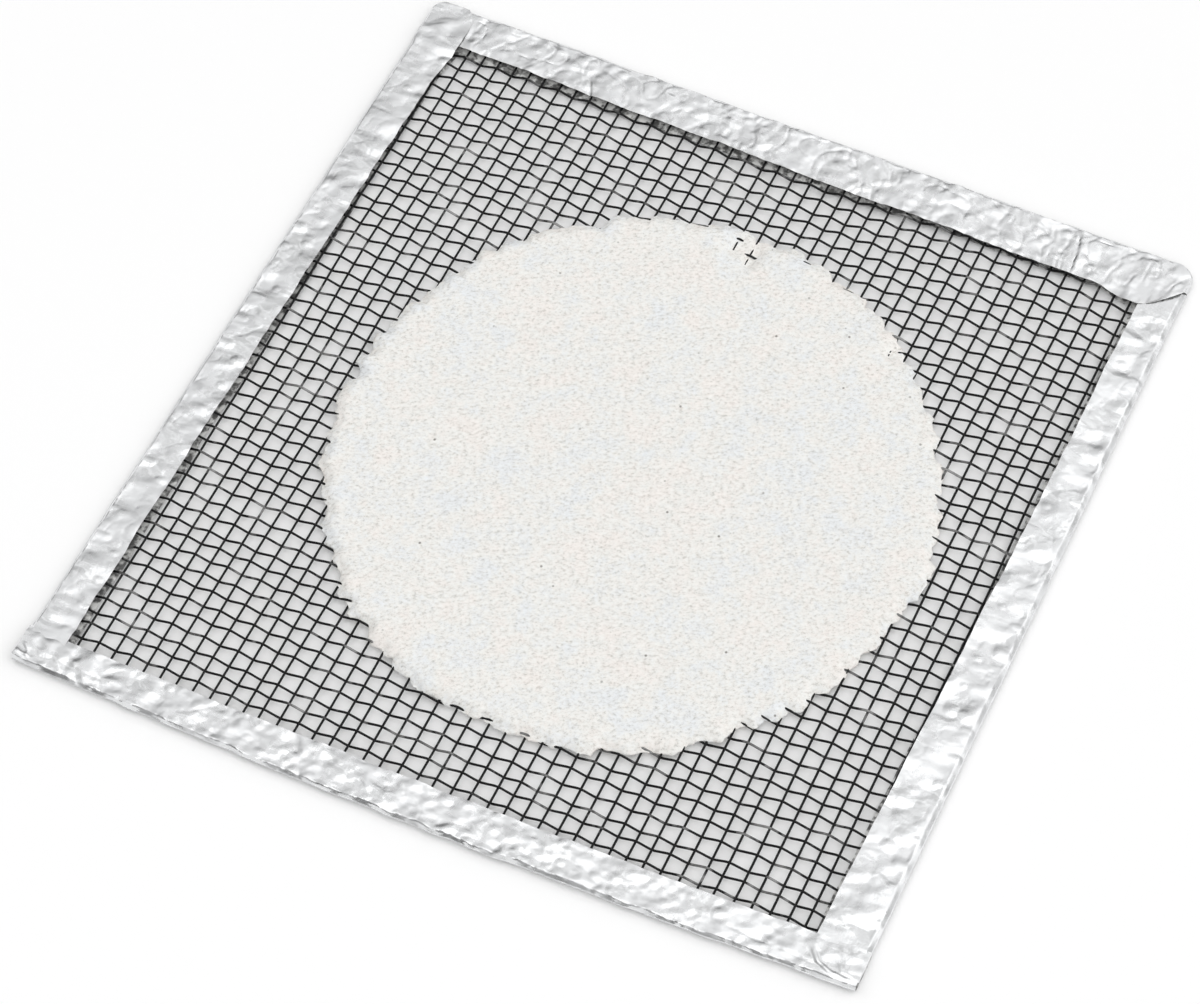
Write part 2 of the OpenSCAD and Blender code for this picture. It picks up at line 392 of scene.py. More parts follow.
@dataclass(frozen=True)
class PressedCeramic:
    """Ceramic fibre and binder, rubbed into the mesh wet and dried chalky."""

    name: str = "Ceramic fibre, pressed in wet and dried"
    warm: str = "#F7F3EF"
    plain: str = "#F4F4F1"
    cool: str = "#EFF2F4"
    speck: str = "#6E6A64"
    mottle_mm: float = 5.0
    grain_mm: float = 0.5
    grain_height: float = 0.08
    rubbed_deg: float = -28.0
    speck_gap_mm: float = 3.2
    speck_patch_mm: float = 7.0

    def material(self) -> Material:
        """Makes the material.

        Returns:
            The ceramic.
        """
        material, tree, place = new_material(self.name)
        # faint pink and blue clouds, as the binder dries unevenly
        cloud = add_node(
            tree,
            "TexNoise",
            {"Vector": place, "Scale": per_metre(self.mottle_mm), "Detail": 6.0, "Roughness": 0.7},
        )
        tints = {0.36: self.cool, 0.5: self.plain, 0.64: self.warm}
        colour = add_node(tree, "ValToRGB", {"Fac": cloud}, tints)
        # grains of different depth, drawn out the way it was rubbed, show as lighter and darker flecks:
        # painted shade, darker where the grain's bump is low
        turn = (0, 0, math.radians(self.rubbed_deg))
        rubbed = add_node(tree, "Mapping", {"Vector": place, "Rotation": turn})
        drawn = add_node(tree, "Mapping", {"Vector": rubbed, "Scale": (0.8, 1.15, 1)})
        grain = add_node(
            tree,
            "TexNoise",
            {"Vector": drawn, "Scale": per_metre(self.grain_mm), "Detail": 6.0, "Roughness": 0.75},
        )
        # painted shade in the grain's pits: the lower the grain, the darker the colour
        pit_shades = {0.34: "#D3D1CE", 0.48: "#F6F5F4", 0.62: "#FFFFFF"}
        layers = {"Color1": colour, "Color2": add_node(tree, "ValToRGB", {"Fac": grain}, pit_shades)}
        pit_shaded = add_node(tree, "MixRGB", {"Fac": 1.0, **layers}, blend_type="MULTIPLY")
        # a few small dark specks, scattered in patches
        cells = add_node(tree, "TexVoronoi", {"Vector": place, "Scale": per_metre(self.speck_gap_mm)})
        near = add_node(
            tree,
            "MapRange",
            {"Value": cells, "From Min": 0.035, "From Max": 0.075, "To Min": 1.0, "To Max": 0.0},
        )
        picked = add_node(
            tree, "TexNoise", {"Vector": place, "Scale": per_metre(self.speck_patch_mm), "Detail": 1.0}
        )
        some = add_node(
            tree,
            "MapRange",
            {"Value": picked, "From Min": 0.42, "From Max": 0.56, "To Min": 0.0, "To Max": 0.85},
        )
        spots = add_node(tree, "Math", {0: near, 1: some}, operation="MULTIPLY")
        specked = {"Fac": spots, "Color1": pit_shaded, "Color2": srgb(self.speck)}
        relief = {"Strength": 1.0, "Distance": self.grain_height * MM, "Height": grain}
        shader = add_node(
            tree,
            "BsdfPrincipled",
            {
                "Base Color": add_node(tree, "MixRGB", specked),
                "Roughness": 0.95,
                "Specular IOR Level": 0.2,
                "Normal": add_node(tree, "Bump", relief),
            },
        )
        add_node(tree, "OutputMaterial", {"Surface": shader})
        return material


@dataclass(frozen=True)
class TapeBacking:
    """The tape's sticky side, dull grey with dark patches of painted shade, which shows only through the
    mesh.
    """

    name: str = "Adhesive side of the tape, dull with dust"
    colour: str = "#E6E6E4"
    # the grey of the painted shade, and the size of its patches
    painted_shade_colour: str = "#6A6A69"
    painted_shade_mm: float = 1.0

    def material(self) -> Material:
        """Makes the material.

        Returns:
            The sticky side.
        """
        material, tree, place = new_material(self.name)
        # painted shade: dark patches make the strip beneath the mesh unevenly grey, as the shade under
        # the wires does
        painted_shade = add_node(
            tree, "TexNoise", {"Vector": place, "Scale": per_metre(self.painted_shade_mm), "Detail": 4.0}
        )
        colour = add_node(tree, "ValToRGB", {"Fac": painted_shade}, {0.42: self.painted_shade_colour, 0.58: self.colour})
        sockets = {"Base Color": colour, "Roughness": 0.65, "Specular IOR Level": 0.3}
        shader = add_node(tree, "BsdfPrincipled", sockets)
        add_node(tree, "OutputMaterial", {"Surface": shader})
        return material


@dataclass(frozen=True)
class WhiteSheet:
    """A plain white floor, which the lights bring to paper white."""

    name: str = "Matt white paper"
    colour: str = "#FBFBFB"

    def material(self) -> Material:
        """Makes the material.

        Returns:
            The paper.
        """
        material, tree, _ = new_material(self.name)
        # nothing but the gauze's shadow breaks the white
        shader = add_node(tree, "BsdfDiffuse", {"Color": srgb(self.colour)})
        add_node(tree, "OutputMaterial", {"Surface": shader})
        return material


# ---------- meshes ----------


def make_piece(
    name: str,
    points: Array,
    faces: Faces,
    material: Material,
    node: str,
    lining: tuple[Material, list[int]] | None = None,
    sharp: float = 62,
) -> bpy.types.Object:
    """Makes one piece, which stands for a CAD node.

    Args:
        name: the piece's name.
        points: its vertices, in millimetres.
        faces: each face's vertex numbers.
        material: what it is made of.
        node: the CAD node that it stands for.
        lining: a second material, and for each face whether it has that one.
        sharp: edges that turn through more degrees than this are sharp.

    Returns:
        The new object.
    """
    mesh = bpy.data.meshes.new(name)
    mesh.from_pydata((points * MM).tolist(), [], faces)
    mesh.polygons.foreach_set("use_smooth", [True] * len(mesh.polygons))
    mesh.materials.append(material)
    if lining:
        mesh.materials.append(lining[0])
        mesh.polygons.foreach_set("material_index", lining[1])
    mesh.update()
    mesh.set_sharp_from_angle(angle=math.radians(sharp))
    piece = bpy.data.objects.new(name, mesh)
    bpy.context.scene.collection.objects.link(piece)
    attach(piece, "root")
    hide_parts(node)
    LOG.info("%s: %d triangles", name, sum(len(face) - 2 for face in faces))
    return piece


def grid_faces(rows: int, columns: int, first: int = 0, flip: bool = False) -> Faces:
    """Joins a grid of vertices with quads.

    Args:
        rows: how many rows of vertices.
        columns: how many in each row.
        first: number of the first vertex.
        flip: whether the faces look the other way.

    Returns:
        The quads.
    """
    corner = first + np.arange(rows - 1)[:, None] * columns + np.arange(columns - 1)[None, :]
    quads = np.stack([corner, corner + 1, corner + columns + 1, corner + columns], axis=-1)
    quads = quads.reshape(-1, 4)
    return (quads[:, ::-1] if flip else quads).tolist()


def tube(path: Array, across: Array, radius: float, first: int, sides: int = 8) -> tuple[Array, Faces]:
    """Sweeps a round wire along a path.

    Args:
        path: the wire's middle, a row for each place.
        across: a direction that stays square to the path.
        radius: the wire's radius.
        first: number of its first vertex.
        sides: how many sides it has.

    Returns:
        Its vertices and its faces, with both ends closed.
    """
    way = np.gradient(path, axis=0)
    up = np.cross(way, across)
    up /= np.linalg.norm(up, axis=1)[:, None]
    turns = np.arange(sides) * 2 * math.pi / sides
    ring = np.cos(turns)[None, :, None] * across + np.sin(turns)[None, :, None] * up[:, None, :]
    points = (path[:, None, :] + radius * ring).reshape(-1, 3)
    count = len(path)
    start = first + np.arange(count - 1)[:, None] * sides + np.arange(sides)[None, :]
    after = first + np.arange(count - 1)[:, None] * sides + (np.arange(sides)[None, :] + 1) % sides
    quads = np.stack([start, after, after + sides, start + sides], axis=-1).reshape(-1, 4)
    ends = [
        [first + k for k in reversed(range(sides))],
        [first + (count - 1) * sides + k for k in range(sides)],
    ]
    return points, quads.tolist() + ends


# ---------- woven mesh ----------


@dataclass
class Weave:
    """Where the wires of the mesh really run, once handling has pushed them about."""

    per_group: int = 4
    fan: float = 0.0115
    square_y: float = -23.0
    scatter: float = 0.13
    wander: float = 0.14
    wander_mm: float = 17.0
    lean_deg: float = 0.34
    bend: float = 0.38
    crest_mm: float = 0.8
    pulls: tuple[tuple[float, ...], ...] = (
        (4.0, 52.0, 27.0, 0.6, -0.25),
        (8.0, -51.0, 26.0, 0.7, -0.1),
        (-50.0, 18.0, 17.0, -0.35, 0.0),
        (52.0, 20.0, 22.0, -0.4, 0.0),
        (51.0, -30.0, 17.0, -0.25, 0.0),
        (26.0, 53.0, 15.0, 0.0, 0.8),
        (50.0, 52.0, 10.0, 0.0, 0.4),
        (46.0, -51.0, 11.0, 0.0, 0.45),
        (-45.0, -51.0, 14.0, -0.1, 0.38),
        (-48.0, -5.0, 13.0, 0.2, -0.25),
        (-46.0, 40.0, 17.0, 0.0, 0.32),
    )
    noise: Noise = Noise(11)

    def __post_init__(self) -> None:
        """Reads the wires' places off the frame."""
        boxes = [box_mm(name) for name in group_names("warp_wires")]
        self.radius = float(boxes[0][1][2] - boxes[0][0][2]) / 2
        self.mid = float(boxes[0][1][2] + boxes[0][0][2]) / 2
        self.warp_x = np.concatenate(
            [
                np.linspace(low[0] + self.radius, high[0] - self.radius, self.per_group)
                for low, high in boxes
            ]
        )
        self.warp_ends = [(low[1], high[1]) for low, high in boxes]
        boxes = [box_mm(name) for name in group_names("weft_wires")]
        middles = np.array([(low[1] + high[1]) / 2 for low, high in boxes])
        self.pitch = float(middles[0] - middles[-1]) / (len(middles) - 1) / self.per_group
        steps = (self.per_group - 1) / 2 - np.arange(self.per_group)
        self.weft_y = (middles[:, None] + steps * self.pitch).ravel()
        self.weft_ends = [(low[0], high[0]) for low, high in boxes]
        self.lift = float(boxes[0][1][2] - boxes[0][0][2]) / 2 - 1.05 * self.radius
        count = np.arange(len(self.warp_x))
        self.warp_off = self.scatter * self.noise.at_points(count, count * 0 + 900)
        count = np.arange(len(self.weft_y))
        self.weft_off = self.scatter * self.noise.at_points(count, count * 0 + 500)

    def pulled(self, x: Array, y: Array, way: int) -> Array:
        """Tells how far handling has drawn the wires aside.

        Args:
            x: places along X.
            y: places along Y.
            way: 0 for the shift along X, 1 for that along Y.

        Returns:
            The shift at each place.
        """
        return sum(
            pull[3 + way] * np.exp(-((x - pull[0]) ** 2 + (y - pull[1]) ** 2) / pull[2] ** 2)
            for pull in self.pulls
        )

    def leaned(self, x: Array, y: Array) -> Array:
        """Tells how far the straight wires lean and are drawn along X.

        Args:
            x: where they would lie if they were straight.
            y: places along them.

        Returns:
            The shift at each place.
        """
        share = (x - self.warp_x[0]) / (self.warp_x[-1] - self.warp_x[0])
        lean = math.radians(self.lean_deg) * eased(1.6 * share - 0.5)
        return self.pulled(x, y, 0) - lean * y

    def warp_at(self, i: Array | int, y: Array) -> Array:
        """Gives where straight wires lie along X.

        Args:
            i: the wires' numbers.
            y: places along them.

        Returns:
            X at each place.
        """
        own = np.asarray(i) * 7.3
        sway = self.wander * self.noise.soft(own * 91, y, self.wander_mm)
        return self.warp_x[i] + self.warp_off[i] + sway + self.leaned(self.warp_x[i], y)

    def weft_at(self, j: Array | int, x: Array) -> Array:
        """Gives where crimped wires lie along Y.

        Args:
            j: the wires' numbers.
            x: places along them.

        Returns:
            Y at each place.
        """
        own = np.asarray(j) * 5.1 + 300
        sway = self.wander * self.noise.soft(own * 77, x, self.wander_mm)
        tilt = np.radians(-self.fan * (self.weft_y[j] - self.square_y))
        pull = self.pulled(x, self.weft_y[j], 1)
        return self.weft_y[j] + self.weft_off[j] + sway + np.tan(tilt) * x + pull

    def crimp(self, j: int, x: Array) -> Array:
        """Gives the height of a crimped wire over the middle of the mesh.

        Args:
            j: the wire's number.
            x: places along it.

        Returns:
            Its height at each place: the most at one crossing, the least at the next.
        """
        y = self.weft_at(j, x)
        crossings = self.warp_at(np.arange(len(self.warp_x)), np.interp(self.warp_x, x, y))
        place = np.interp(x, crossings, np.arange(len(crossings)))
        short = np.minimum(x - crossings[0], 0) + np.maximum(x - crossings[-1], 0)
        place = place + short / (crossings[1] - crossings[0])
        zigzag = 2 * np.abs((place + j) % 2 - 1) - 1
        return self.lift * ((1 - self.bend) * zigzag + self.bend * np.sin(zigzag * math.pi / 2))

    def press(self, x: Array, y: Array) -> Array:
        """Tells how the weave stands up under foil: 1 over a crest, -1 over a dip.

        Args:
            x: places along X.
            y: places along Y.

        Returns:
            The share of the crest at each place.
        """
        tilt = np.radians(-self.fan * (y - self.square_y))
        straight = x - self.leaned(x, y)
        column = np.interp(straight, self.warp_x + self.warp_off, np.arange(len(self.warp_x)))
        row = (self.weft_y[0] - (y - np.tan(tilt) * x - self.pulled(x, y, 1))) / self.pitch
        wire = np.round(row)
        crest = np.cos(math.pi * (column + wire))
        return crest * np.exp(-(((row - wire) * self.pitch / self.crest_mm) ** 2))

    def warp_path(self, i: int) -> Array:
        """Gives the middle of a straight wire, a row for each place."""
        y = np.linspace(*self.warp_ends[i // self.per_group], 110)
        return np.stack([self.warp_at(i, y), y, np.full_like(y, self.mid)], axis=1)

    def weft_path(self, j: int) -> Array:
        """Gives the middle of a crimped wire, a row for each place."""
        x = np.linspace(*self.weft_ends[j // self.per_group], 5 * (len(self.warp_x) - 1) + 1)
        return np.stack([x, self.weft_at(j, x), self.mid + self.crimp(j, x)], axis=1)

    def build_warp(self, finish: BlackIron) -> None:
        """Makes the straight wires, one piece for each CAD node.

        Args:
            finish: what they are made of.
        """
        material = finish.material()
        for g, node in enumerate(group_names("warp_wires")):
            wires = range(g * self.per_group, (g + 1) * self.per_group)
            paths = [self.warp_path(i) for i in wires]
            self._build(paths, np.array([1.0, 0.0, 0.0]), material, node)

    def build_weft(self, finish: BlackIron) -> None:
        """Makes the crimped wires, one piece for each CAD node.

        Args:
            finish: what they are made of.
        """
        material = finish.material()
        for g, node in enumerate(group_names("weft_wires")):
            wires = range(g * self.per_group, (g + 1) * self.per_group)
            paths = [self.weft_path(j) for j in wires]
            self._build(paths, np.array([0.0, 1.0, 0.0]), material, node)

    def _build(
        self, paths: list[Array], across: Array, material: Material, node: str
    ) -> None:
        """Makes one piece of several wires.

        Args:
            paths: the middle of each wire.
            across: a direction that stays square to them.
            material: what they are made of.
            node: the CAD node that they stand for.
        """
        points, faces, first = [], [], 0
        for path in paths:
            ring, sides = tube(path, across, self.radius, first)
            points.append(ring)
            faces += sides
            first += len(ring)
        make_piece("iron_" + node, np.concatenate(points), faces, material, node)


# ---------- foil edging ----------


@dataclass(frozen=True)
class Crinkle:
    """How one strip of foil is crinkled: heights of lumps, ripples, folds, facets and veins."""

    seed: int
    press: float = 0.12
    lumps: float = 0.1
    ripples: float = 0.07
    folds: float = 0.08
    facets: float = 0.05
    veins: float = 0.03
    stretch: float = 1.3
    lump_mm: float = 4.2
    ripple_mm: float = 1.7
    fold_mm: float = 2.6
    facet_mm: float = 1.0
    vein_mm: float = 3.0
    vein_width: float = 0.13
    drift: float = 0.7
    drift_mm: float = 2.1
    patch_mm: float = 9.0

    def height(self, x: Array, y: Array) -> Array:
        """Gives the crinkle's height.

        Args:
            x: places along the strip.
            y: places across it.

        Returns:
            The height at each place.
        """
        noise, x = Noise(self.seed), x / self.stretch
        slant_x, slant_y = 0.8 * x - 0.6 * y, 0.6 * x + 0.8 * y
        big = self.lumps * noise.soft(slant_x, slant_y, self.lump_mm)
        ripple = self.ripples * noise.soft(0.94 * x + 0.34 * y + 33, 0.94 * y - 0.34 * x, self.ripple_mm)
        fold = self.folds * noise.faceted(x + 70, y, self.fold_mm)
        fine = self.facets * Noise(self.seed + 5).faceted(slant_y, slant_x, self.facet_mm)
        patchy = 0.65 + 0.45 * noise.soft(x, y + 40, self.patch_mm)
        # narrow grooves that wander and meet, as crushed foil has
        drift = self.drift * noise.faceted(x - 50, y, self.drift_mm)
        lines = [noise.soft(x + drift + 15, y - drift, self.vein_mm)]
        lines.append(Noise(self.seed + 9).soft(slant_x, slant_y + drift, 1.4 * self.vein_mm))
        grooves = sum(np.clip(1 - np.abs(line) / self.vein_width, 0, 1) for line in lines)
        return big + ripple + (fold + fine) * patchy - self.veins * grooves


@dataclass(frozen=True)
class Crease:
    """A fold pressed into the foil, with a groove, a step down to its right, or both."""

    path: tuple[Point, ...]
    depth: float = 0.12
    step: float = 0.0
    width: float = 0.4
    lip_mm: float = 2.5

    def height(self, x: Array, y: Array) -> Array:
        """Gives what the crease adds to the foil's height.

        Args:
            x: places along X.
            y: places along Y.

        Returns:
            The height at each place.
        """
        off, share = distance_to(self.path, x, y)
        ends = np.clip(np.minimum(share, 1 - share) * 8, 0, 1)
        groove = -self.depth * np.clip(1 - np.abs(off) / self.width, 0, 1)
        lip = self.step * eased(off / self.width + 0.5) * np.clip(1 - off / self.lip_mm, 0, 1)
        return (groove + np.where(off > -self.width, lip, 0)) * ends

    def moved(self, corner: Array) -> "Crease":
        """Gives the same crease with its points measured from a corner."""
        return replace(self, path=tuple((corner[0] + x, corner[1] + y) for x, y in self.path))


@dataclass(frozen=True)
class Hem:
    """A strip's end that is folded round the corner and down the next edge."""

    radius: float
    root: float
    length: float
    drop: float
    curve: float = 1.5
    slant_mm: float = 16.0


@dataclass
class FoilStrip:
    """A strip of tape folded over one edge of the mesh.

    Its own x runs along the edge with the mesh on its left, and y runs inwards from the fold.
    """

    side: Side
    start: Array
    end: Array
    widths: Point
    under: Point
    crinkle: Crinkle
    hem: Hem | None = None
    bow: float = 0.0
    over: Point = (0.0, 0.0)
    tucked: Point = (0.0, 0.0)
    held_back: Point = (0.0, 0.0)
    cut_bow: float = 0.0
    wobble: float = 0.09
    taut: float = 0.3
    sunk: bool = False
    creases: tuple[Crease, ...] = ()
    thick: float = 0.05
    plain_top: float = 0.6
    lap_rise: float = 0.1
    lap_out: float = 0.12
    lap_fade: float = 1.2
    under_fade: float = 1.0
    rubbed_mm: float = 1.6
    rubbed_in: float = 0.09
    least_above: float = 0.27
    least_below: float = 0.3
    crowding: float = 1.35
    ragged: float = 0.16
    ragged_below: float = 0.3
    fold_radius: float = 0.1
    bevel: float = 0.42
    rows: int = 560
    top_columns: int = 34
    fold_columns: int = 6
    under_columns: int = 10

    def __post_init__(self) -> None:
        """Works out which way the strip runs."""
        way = self.end - self.start
        self.length = float(np.linalg.norm(way))
        self.way = way / self.length
        self.inward = np.array([-self.way[1], self.way[0]])
        self.noise = Noise(self.crinkle.seed + 100)

    def near_ends(self, x: Array, reach: Point, fade: float) -> Array:
        """Tells which places are within reach of the strip's start or end.

        Args:
            x: places along the strip.
            reach: how far from the start and from the end, or 0 for nowhere.
            fade: the length over which it fades.

        Returns:
            1 within reach and 0 elsewhere.
        """
        first = eased((reach[0] - x) / fade) if reach[0] else 0
        last = eased((x - self.length + reach[1]) / fade) if reach[1] else 0
        return np.maximum(first, last) + 0 * x

    def lapping(self, x: Array) -> Array:
        """Tells where the strip lies over a neighbour."""
        return self.near_ends(x, self.over, self.lap_fade)

    def under_lap(self, x: Array) -> Array:
        """Tells where the strip lies under a neighbour."""
        return self.near_ends(x, self.tucked, self.under_fade)

    def edges(self, widths: Point, ragged: float) -> tuple[Array, Array]:
        """Lays out the fold and the cut edge of one leaf, row by row.

        Args:
            widths: the leaf's width at the strip's start and end.
            ragged: how far the cut edge strays.

        Returns:
            The fold's and the cut edge's places, in the strip's own x and y.
        """
        share = np.linspace(0, 1, self.rows)
        last = self.length - self.held_back[1]
        out = self.lap_out
        if self.hem:
            hem = self.hem
            middle = hem.radius - out
            side_run, turn_run = hem.root - middle, hem.radius * math.pi / 2
            run = share * (side_run + turn_run + last - middle)
            turn = np.clip((run - side_run) / hem.radius, 0, math.pi / 2)
            straight = np.maximum(run - side_run - turn_run, 0)
            x = middle - hem.radius * np.cos(turn) + straight
            y = middle - hem.radius * np.sin(turn) + np.maximum(side_run - run, 0)
            part = np.clip(run / (side_run + turn_run), 0, 1)
            shift = (hem.length - middle) * np.clip(1 - straight / hem.slant_mm, 0, 1) ** 2
            inner_x = np.where(part < 1, -out + (hem.length + out) * part, x + shift)
            dropped = hem.drop * eased((2.2 * hem.length - inner_x) / hem.length)
            width = self.width_at(widths, inner_x) + dropped
            bent = 1 - (1 - part) ** hem.curve
            inner_y = np.where(part < 1, hem.root + (width - hem.root) * bent, width)
            y = y + out * (1 - self.lapping(x)) * (turn >= math.pi / 2)
        else:
            first = self.held_back[0]
            x = first + share * (last - first)
            y = -out * self.lapping(x)
            inner_x = x
            inner_y = self.width_at(widths, x)
        share = np.clip(inner_x / self.length, 0, 1)
        inner_y = inner_y - self.cut_bow * 4 * share * (1 - share)
        y = y - self.bow * 4 * (x / self.length) * (1 - x / self.length) * (x > 0)
        y = y + self.wobble * self.noise.soft(x, x * 0, 3.1)
        y = y + 0.5 * self.wobble * self.noise.faceted(x, x * 0 + 9, 1.1)
        inner_y = inner_y + ragged * self.noise.soft(inner_x, x * 0 + 50, 6.0)
        inner_y = inner_y + 0.3 * ragged * self.noise.soft(inner_x, x * 0 + 80, 1.3)
        return np.stack([x, y], axis=1), np.stack([inner_x, inner_y], axis=1)

    def width_at(self, widths: Point, x: Array) -> Array:
        """Gives a leaf's width, which tapers evenly from end to end."""
        return widths[0] + (widths[1] - widths[0]) * np.clip(x / self.length, 0, 1)

    def placed(self, local: Array) -> Array:
        """Moves places from the strip's own x and y into the frame."""
        return self.start + local[..., :1] * self.way + local[..., 1:] * self.inward

    def leaf(self, weave: Weave, widths: Point, columns: int, above: bool) -> Array:
        """Shapes one leaf, from the fold to its cut edge.

        Args:
            weave: what it is pressed on.
            widths: its width at the strip's start and end.
            columns: how many columns of vertices it has.
            above: whether it is the upper leaf.

        Returns:
            Its vertices, as rows by columns.
        """
        fold, cut = self.edges(widths, self.ragged if above else self.ragged_below)
        # the columns crowd towards the fold, where the foil bends most
        share = (np.arange(1, columns + 1) / columns) ** self.crowding
        reach = np.linalg.norm(cut - fold, axis=1)[:, None]
        inset = self.fold_radius + (reach - self.fold_radius) * share[None, :]
        local = fold[:, None, :] + (cut - fold)[:, None, :] * (inset / reach)[..., None]
        flat = self.placed(local)
        x, y = flat[..., 0], flat[..., 1]
        along = local[..., 0]
        wide = self.bevel * (1 + 5 * self.wobble * self.noise.faceted(along, along * 0 + 30, 1.4))
        rise = np.clip((inset - self.fold_radius) / wide, 0, 1)
        # the foil is drawn tight next to the fold
        taut = 1 - 0.75 * (1 - eased(inset / self.taut))
        crinkle = self.crinkle.height(local[..., 0], local[..., 1]) * taut
        lap, tuck = self.lapping(local[..., 0]), self.under_lap(local[..., 0])
        if above:
            crease = sum((c.height(x, y) for c in self.creases), np.zeros_like(x))
            loose = crinkle * (1 - tuck) + crease
            loose = np.where(lap > 0, np.maximum(loose, -0.06 * lap - 0.3 * (1 - lap)), loose)
            crest = self.crinkle.press * np.clip(weave.press(x, y), -0.35, 1)
            rise_over = self.lap_rise * lap
            if self.sunk:
                # rubbed down until its cut edge is lost in the strip beneath
                left = reach - inset
                rise_over = rise_over * eased(left / self.rubbed_mm)
                rise_over = rise_over - self.rubbed_in * lap * (1 - eased(left / 1.1))
            top = self.plain_top + rise_over + crest + loose
            top = np.maximum(top, self.lowest(weave, x, y) + rise_over)
        else:
            crest = self.crinkle.press * np.clip(-weave.press(x, y), -0.35, 1)
            top = self.plain_top + self.lap_rise * lap + crest + 0.4 * crinkle * (1 - tuck)
            top = np.maximum(top, self.least_below + self.lap_rise * lap)
        height = self.fold_radius + (top - self.fold_radius) * rise
        z = weave.mid + (height if above else -height)
        return np.concatenate([flat, z[..., None]], axis=-1)

    def lowest(self, weave: Weave, x: Array, y: Array) -> Array:
        """Gives the least height that clears the wires beneath."""
        crest = np.clip(weave.press(x, y), 0, 1)
        return self.least_above + self.thick + (weave.lift - 0.06) * crest**0.8

    def fold(self, weave: Weave) -> Array:
        """Shapes the half round fold, from the upper leaf down to the lower one.

        Args:
            weave: the mesh that it folds over.

        Returns:
            Its vertices, as rows by columns.
        """
        upper, cut = self.edges(self.widths, self.ragged)
        inwards = cut - upper
        inwards /= np.linalg.norm(inwards, axis=1)[:, None]
        turn = np.linspace(0.5, -0.5, self.fold_columns) * math.pi
        inset = self.fold_radius * (1 - np.cos(turn))
        local = upper[:, None, :] + inwards[:, None, :] * inset[None, :, None]
        z = weave.mid + self.fold_radius * np.sin(turn) + np.zeros((self.rows, 1))
        return np.concatenate([self.placed(local), z[..., None]], axis=-1)

    def build(self, weave: Weave, material: Material, sticky: Material) -> None:
        """Makes the strip as a closed sheet, one piece for its CAD node.

        Args:
            weave: the mesh that it folds over.
            material: what it is made of.
            sticky: what its inner side is covered with.
        """
        above = self.leaf(weave, self.widths, self.top_columns, True)[:, ::-1]
        below = self.leaf(weave, self.under, self.under_columns, False)
        outer = np.concatenate([above, self.fold(weave), below], axis=1)
        rows, columns = outer.shape[:2]
        normal = np.cross(np.gradient(outer, axis=0), np.gradient(outer, axis=1))
        normal /= np.linalg.norm(normal, axis=-1)[..., None]
        inner = outer + self.thick * normal
        count = rows * columns
        points = np.concatenate([outer.reshape(-1, 3), inner.reshape(-1, 3)])
        faces = grid_faces(rows, columns) + grid_faces(rows, columns, count, True)
        index = np.arange(count).reshape(rows, columns)
        for rim, flip in (
            (index[0, :], True),
            (index[-1, :], False),
            (index[:, 0], False),
            (index[:, -1], True),
        ):
            for a, b in zip(rim[:-1].tolist(), rim[1:].tolist()):
                quad = [a, b, b + count, a + count]
                faces.append(quad[::-1] if flip else quad)
        node = self.side.value
        inside = (rows - 1) * (columns - 1)
        lining = (sticky, [0] * inside + [1] * (len(faces) - inside))
        make_piece("tape_" + node, points, faces, material, node, lining, 38)


